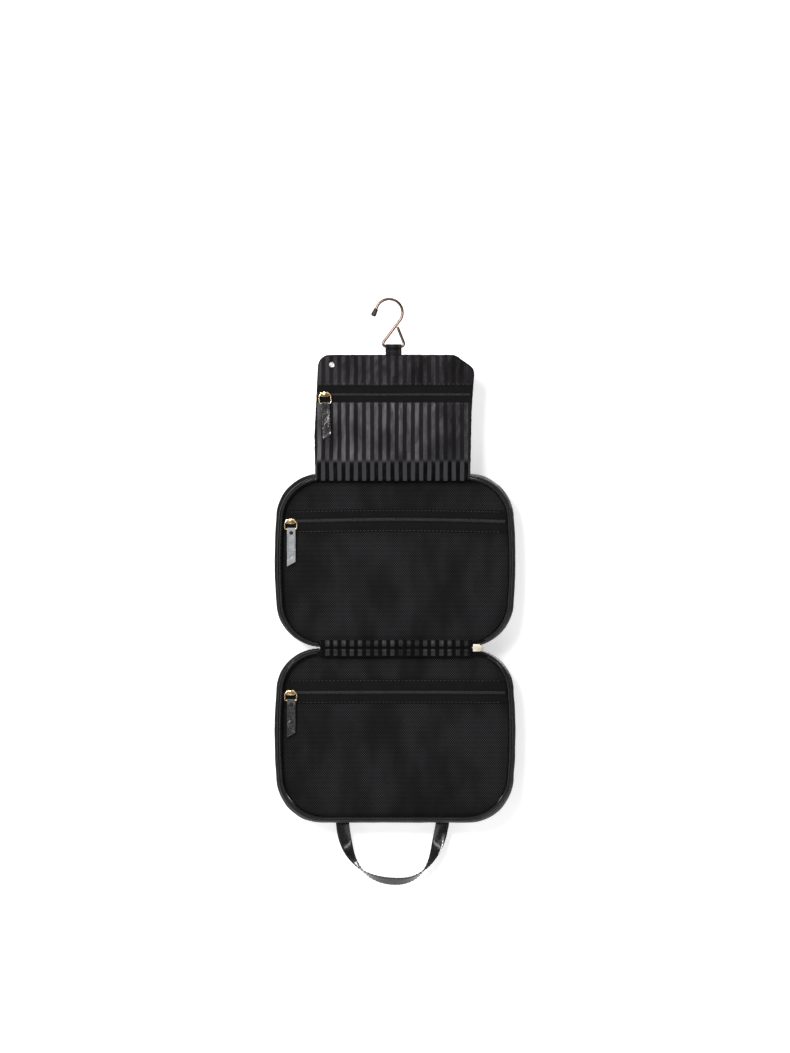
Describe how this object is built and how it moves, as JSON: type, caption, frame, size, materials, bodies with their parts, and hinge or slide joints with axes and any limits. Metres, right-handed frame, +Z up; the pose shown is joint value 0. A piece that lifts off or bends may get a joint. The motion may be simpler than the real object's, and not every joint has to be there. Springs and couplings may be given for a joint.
{
  "type": "hanging toiletry bag",
  "caption": "Hanging toiletry bag with a swivel wire hook, a zipped satin-striped flap, folding mesh-front trays with zipped pockets, and a carrying strap.",
  "frame": {"origin": "the inside top of the hook's bow, where the bag hangs on a rod or peg", "axes": "+Z up along the hanging bag, +X to the right seen from the front, +Y from the front towards the back panels"},
  "size_m": [0.2422, 0.0482, 0.5914],
  "materials": {
    "satin_stripe": "satin, self-striped",
    "flap_edge_fabric": "satin",
    "faux_leather": "fine-grained, semi-gloss",
    "piping_cord": "semi-gloss",
    "lining_fabric": "matte",
    "black_net": "open diamond net",
    "zip_tape": "matte woven tape",
    "zip_coil": "nylon coil",
    "pale_gold": "polished pale gold plating",
    "rose_bronze": "polished rose bronze plating",
    "tip_rubber": "matte",
    "snap_nickel": "satin nickel",
    "patent_strap": "patent gloss",
    "rim_binding_tape": "matte tape"
  },
  "bodies": {
    "hook": {"hook_wire": "rose_bronze", "hook_tip": "tip_rubber"},
    "flap": {"flap_back_panel": "satin_stripe", "flap_top_panel": "satin_stripe", "flap_pocket_front": "satin_stripe", "flap_edge": "flap_edge_fabric", "flap_zip_tape_top": "zip_tape", "flap_zip_tape_bottom": "zip_tape", "flap_zip_coil": "zip_coil", "flap_snap": "snap_nickel", "hook_tab": "satin_stripe"},
    "flap_slider": {"flap_zip_slider": "pale_gold"},
    "flap_ring": {"flap_zip_ring": "pale_gold"},
    "flap_pull": {"flap_zip_pull": "patent_strap"},
    "upper_tray": {"upper_gusset": "faux_leather", "upper_back_panel": "faux_leather", "upper_back_piping": "piping_cord", "upper_lining": "lining_fabric", "upper_zip_tape": "zip_tape", "upper_zip_chain": "zip_coil", "upper_rim_binding": "rim_binding_tape", "upper_mesh_top": "black_net", "upper_mesh_bottom": "black_net", "upper_pocket_tape_top": "zip_tape", "upper_pocket_tape_bottom": "zip_tape", "upper_pocket_coil": "zip_coil", "hinge_strip_upper": "satin_stripe", "main_zip_slider": "pale_gold"},
    "upper_slider": {"upper_pocket_slider": "pale_gold"},
    "upper_ring": {"upper_pocket_ring": "pale_gold"},
    "upper_pull": {"upper_pocket_pull": "patent_strap"},
    "lower_tray": {"lower_gusset": "faux_leather", "lower_back_panel": "faux_leather", "lower_back_piping": "piping_cord", "lower_lining": "lining_fabric", "lower_zip_tape": "zip_tape", "lower_zip_chain": "zip_coil", "lower_rim_binding": "rim_binding_tape", "lower_mesh_top": "black_net", "lower_mesh_bottom": "black_net", "lower_pocket_tape_top": "zip_tape", "lower_pocket_tape_bottom": "zip_tape", "lower_pocket_coil": "zip_coil", "hinge_strip_lower": "satin_stripe", "handle_anchor_left": "patent_strap", "handle_anchor_right": "patent_strap"},
    "lower_slider": {"lower_pocket_slider": "pale_gold"},
    "lower_ring": {"lower_pocket_ring": "pale_gold"},
    "lower_pull": {"lower_pocket_pull": "patent_strap"},
    "main_pull": {"main_zip_pull": "patent_strap"},
    "handle": {"handle_strap": "patent_strap"}
  },
  "joints": [
    {"name": "hook_fold", "type": "hinge", "parent": "hook", "child": "flap", "pos_m": [0.0058, 0, -0.046], "axis": [-1, 0, 0], "range_deg": [0, 180]},
    {"name": "flap_fold", "type": "hinge", "parent": "flap", "child": "upper_tray", "pos_m": [0.0058, 0.0018, -0.1802], "axis": [-1, 0, 0], "range_deg": [0, 180]},
    {"name": "tray_fold", "type": "hinge", "parent": "upper_tray", "child": "lower_tray", "pos_m": [0.0058, 0.0043, -0.3475], "axis": [-1, 0, 0], "range_deg": [0, 180]},
    {"name": "handle_swing", "type": "hinge", "parent": "lower_tray", "child": "handle", "pos_m": [0.0058, 0.0383, -0.5249], "axis": [1, 0, 0], "range_deg": [-75, 10]},
    {"name": "main_pull_swing", "type": "hinge", "parent": "upper_tray", "child": "main_pull", "pos_m": [0.0926, 0.0067, -0.3475], "axis": [0, 0, 1], "range_deg": [-80, 0]},
    {"name": "flap_slide", "type": "slide", "parent": "flap", "child": "flap_slider", "axis": [1, 0, 0], "range_m": [0, 0.138]},
    {"name": "flap_ring_swing", "type": "hinge", "parent": "flap_slider", "child": "flap_ring", "pos_m": [-0.0642, 0.00125, -0.0936], "axis": [0, 1, 0], "range_deg": [-55, 5]},
    {"name": "flap_pull_lift", "type": "hinge", "parent": "flap_ring", "child": "flap_pull", "pos_m": [-0.06373, 0.00125, -0.10264], "axis": [0.9986, 0, 0.0523], "range_deg": [-140, 0]},
    {"name": "upper_slide", "type": "slide", "parent": "upper_tray", "child": "upper_slider", "axis": [1, 0, 0], "range_m": [0, 0.208]},
    {"name": "upper_ring_swing", "type": "hinge", "parent": "upper_slider", "child": "upper_ring", "pos_m": [-0.0986, 0.00905, -0.2205], "axis": [0, 1, 0], "range_deg": [-60, 0]},
    {"name": "upper_pull_lift", "type": "hinge", "parent": "upper_ring", "child": "upper_pull", "pos_m": [-0.0986, 0.00905, -0.22815], "axis": [1, 0, 0], "range_deg": [-140, 0]},
    {"name": "lower_slide", "type": "slide", "parent": "lower_tray", "child": "lower_slider", "axis": [1, 0, 0], "range_m": [0, 0.208]},
    {"name": "lower_ring_swing", "type": "hinge", "parent": "lower_slider", "child": "lower_ring", "pos_m": [-0.0986, 0.00905, -0.3919], "axis": [0, 1, 0], "range_deg": [-60, 0]},
    {"name": "lower_pull_lift", "type": "hinge", "parent": "lower_ring", "child": "lower_pull", "pos_m": [-0.0986, 0.00905, -0.39955], "axis": [1, 0, 0], "range_deg": [-140, 0]}
  ]
}
